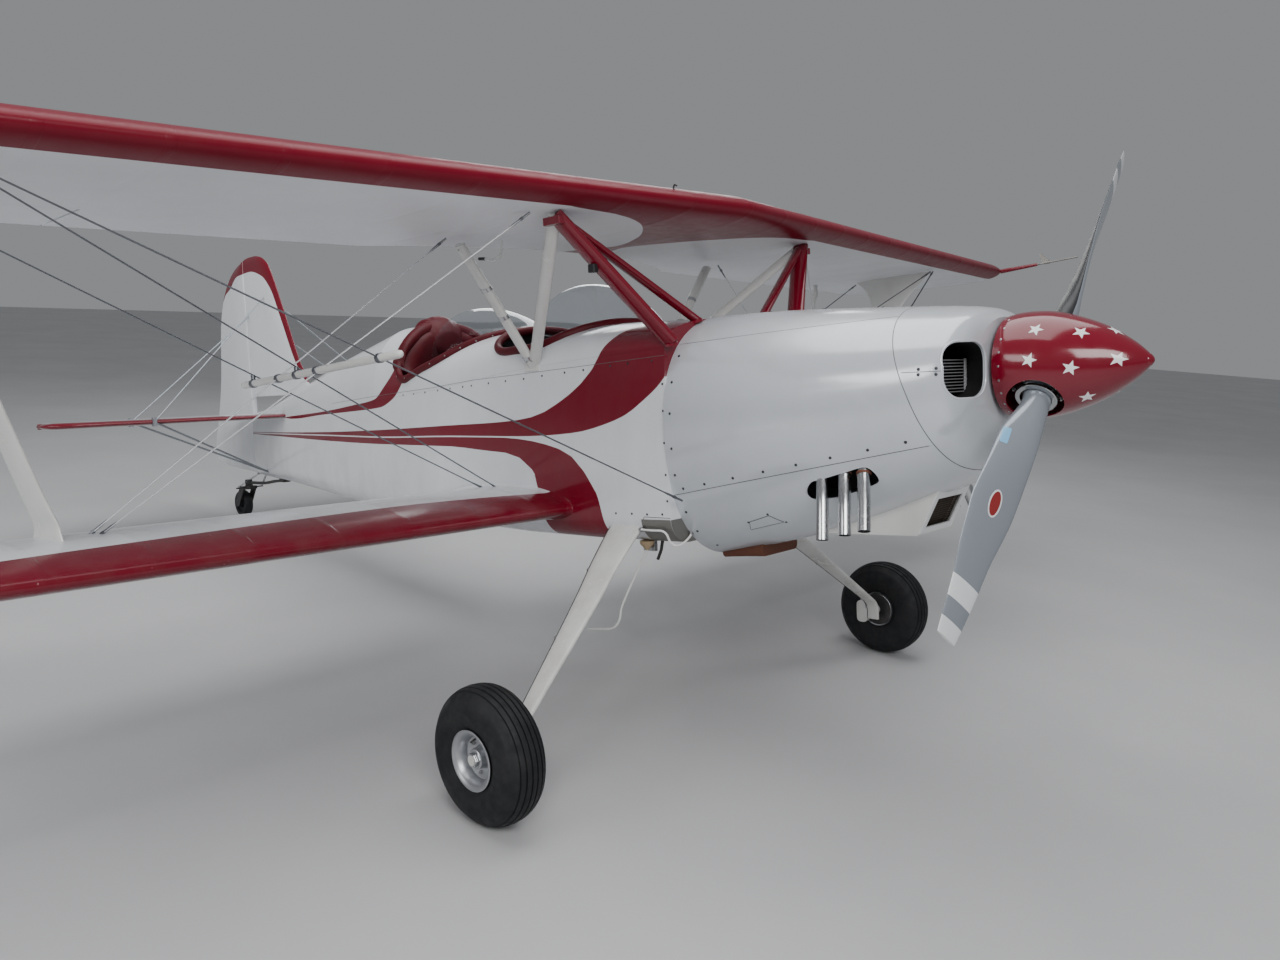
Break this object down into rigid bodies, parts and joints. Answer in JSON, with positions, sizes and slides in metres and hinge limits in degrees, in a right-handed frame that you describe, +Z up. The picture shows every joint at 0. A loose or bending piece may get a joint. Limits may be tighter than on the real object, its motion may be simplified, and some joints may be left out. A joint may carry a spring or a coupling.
{
  "type": "two-seat sport biplane",
  "caption": "Open-cockpit tandem biplane on tailwheel gear, with turning propeller and wheels and hinged ailerons, elevators and rudder.",
  "frame": {"origin": "on the floor, under the middle of the whole aeroplane's box as it parks on its wheels", "axes": "+X to the nose, +Y to the port wing tips, +Z up"},
  "size_m": [6.2916, 7.36, 2.3255],
  "materials": {
    "painted_fabric": "gloss dope on fabric",
    "cowl_paint": "gloss silvery white",
    "red_leather": "dark red, semi gloss",
    "screen": "clear",
    "black_paint": "satin black",
    "white_metal": "gloss white",
    "red_metal": "gloss red",
    "bright_steel": "polished",
    "blade_alloy": "satin paint over alloy",
    "rim_alloy": "machined, dull",
    "tyre": "matt rubber",
    "engine_iron": "dull grey"
  },
  "bodies": {
    "airframe": {"fuselage": "painted_fabric", "forward_deck": "painted_fabric", "turtledeck": "painted_fabric", "coaming_front": "red_leather", "coaming_rear": "red_leather", "windscreen_front": "screen", "windscreen_rear": "screen", "headrest": "red_leather", "seat_front": "red_leather", "seat_rear": "red_leather", "panel_front": "black_paint", "panel_rear": "black_paint", "control_sticks": "black_paint", "cowl_upper": "cowl_paint", "cowl_lower": "cowl_paint", "nose_bowl": "cowl_paint", "intake_scoop": "cowl_paint", "engine": "engine_iron", "exhaust_left": "bright_steel", "exhaust_right": "bright_steel", "gear_leg_left": "white_metal", "gear_leg_right": "white_metal", "tail_spring": "black_paint", "fin": "painted_fabric", "stabiliser_left": "painted_fabric", "stabiliser_right": "painted_fabric", "tail_brace_left": "bright_steel", "tail_brace_right": "bright_steel", "upper_wing_centre": "painted_fabric", "upper_wing_left": "painted_fabric", "upper_wing_right": "painted_fabric", "lower_wing_left": "painted_fabric", "lower_wing_right": "painted_fabric", "interplane_strut_left": "white_metal", "interplane_strut_right": "white_metal", "cabane_left": "red_metal", "cabane_right": "red_metal", "wing_wires_left": "bright_steel", "wing_wires_right": "bright_steel", "pitot_boom": "red_metal"},
    "propeller": {"spinner": "red_metal", "prop_hub": "bright_steel", "prop_blade_lower": "blade_alloy", "prop_blade_upper": "blade_alloy"},
    "left_wheel": {"wheel_left": "rim_alloy", "tyre_left": "tyre"},
    "right_wheel": {"wheel_right": "rim_alloy", "tyre_right": "tyre"},
    "tailwheel_fork": {"tailwheel_fork": "black_paint"},
    "tailwheel": {"tailwheel": "tyre"},
    "rudder": {"rudder": "painted_fabric"},
    "elevators": {"elevators": "painted_fabric"},
    "upper_left_aileron": {"upper_aileron_left": "painted_fabric"},
    "upper_right_aileron": {"upper_aileron_right": "painted_fabric"},
    "lower_left_aileron": {"lower_aileron_left": "painted_fabric"},
    "lower_right_aileron": {"lower_aileron_right": "painted_fabric"},
    "left_aileron_rod": {"aileron_rod_left": "white_metal"},
    "right_aileron_rod": {"aileron_rod_right": "white_metal"}
  },
  "joints": [
    {"name": "propeller_spin", "type": "hinge", "parent": "airframe", "child": "propeller", "pos_m": [2.83955, 0, 1.57391], "axis": [0.9912, 0, 0.1323], "continuous": true},
    {"name": "left_wheel_roll", "type": "hinge", "parent": "airframe", "child": "left_wheel", "pos_m": [1.69514, 1.266, 0.2308], "axis": [0, 1, 0], "continuous": true},
    {"name": "right_wheel_roll", "type": "hinge", "parent": "airframe", "child": "right_wheel", "pos_m": [1.69514, -1.266, 0.2308], "axis": [0, 1, 0], "continuous": true},
    {"name": "rudder_hinge", "type": "hinge", "parent": "airframe", "child": "rudder", "pos_m": [-2.53031, 0, 0.74745], "axis": [-0.1323, 0, 0.9912], "range_deg": [-25, 25]},
    {"name": "tailwheel_steer", "type": "hinge", "parent": "airframe", "child": "tailwheel_fork", "pos_m": [-2.64327, 0, 0.24812], "axis": [-0.1323, 0, 0.9912], "range_deg": [-25, 25]},
    {"name": "tailwheel_roll", "type": "hinge", "parent": "tailwheel_fork", "child": "tailwheel", "pos_m": [-2.72739, 0, 0.0998], "axis": [0, 1, 0], "continuous": true},
    {"name": "elevator_hinge", "type": "hinge", "parent": "airframe", "child": "elevators", "pos_m": [-2.34304, 0, 0.78051], "axis": [0, 1, 0], "range_deg": [-24, 28]},
    {"name": "upper_left_aileron_hinge", "type": "hinge", "parent": "airframe", "child": "upper_left_aileron", "pos_m": [0.53315, 2.04, 1.92544], "axis": [-0.1473, 0.989, -0.0147], "range_deg": [-22, 22]},
    {"name": "upper_right_aileron_hinge", "type": "hinge", "parent": "airframe", "child": "upper_right_aileron", "pos_m": [0.53315, -2.04, 1.92544], "axis": [-0.1473, -0.989, -0.0147], "range_deg": [-22, 22]},
    {"name": "lower_left_aileron_hinge", "type": "hinge", "parent": "airframe", "child": "lower_left_aileron", "pos_m": [0.37329, 1.9, 0.75428], "axis": [-0.0015, 0.9999, 0.0114], "range_deg": [-22, 22]},
    {"name": "lower_right_aileron_hinge", "type": "hinge", "parent": "airframe", "child": "lower_right_aileron", "pos_m": [0.37329, -1.9, 0.75428], "axis": [-0.0015, -0.9999, 0.0114], "range_deg": [-22, 22]},
    {"name": "left_aileron_rod_pin", "type": "hinge", "parent": "upper_left_aileron", "child": "left_aileron_rod", "pos_m": [0.31027, 2.5, 1.83547], "axis": [-0.1473, 0.989, -0.0147], "range_deg": [-24.56, 24.56]},
    {"name": "right_aileron_rod_pin", "type": "hinge", "parent": "upper_right_aileron", "child": "right_aileron_rod", "pos_m": [0.31027, -2.5, 1.83547], "axis": [-0.1473, -0.989, -0.0147], "range_deg": [-24.56, 24.56]}
  ],
  "couplings": [
    {"joint": "tailwheel_steer", "follows": "rudder_hinge", "ratio": 1},
    {"joint": "upper_right_aileron_hinge", "follows": "upper_left_aileron_hinge", "ratio": 1},
    {"joint": "lower_left_aileron_hinge", "follows": "upper_left_aileron_hinge", "ratio": 1},
    {"joint": "lower_right_aileron_hinge", "follows": "upper_left_aileron_hinge", "ratio": 1},
    {"joint": "left_aileron_rod_pin", "follows": "upper_left_aileron_hinge", "ratio": -1.1165},
    {"joint": "right_aileron_rod_pin", "follows": "upper_left_aileron_hinge", "ratio": -1.1165}
  ]
}
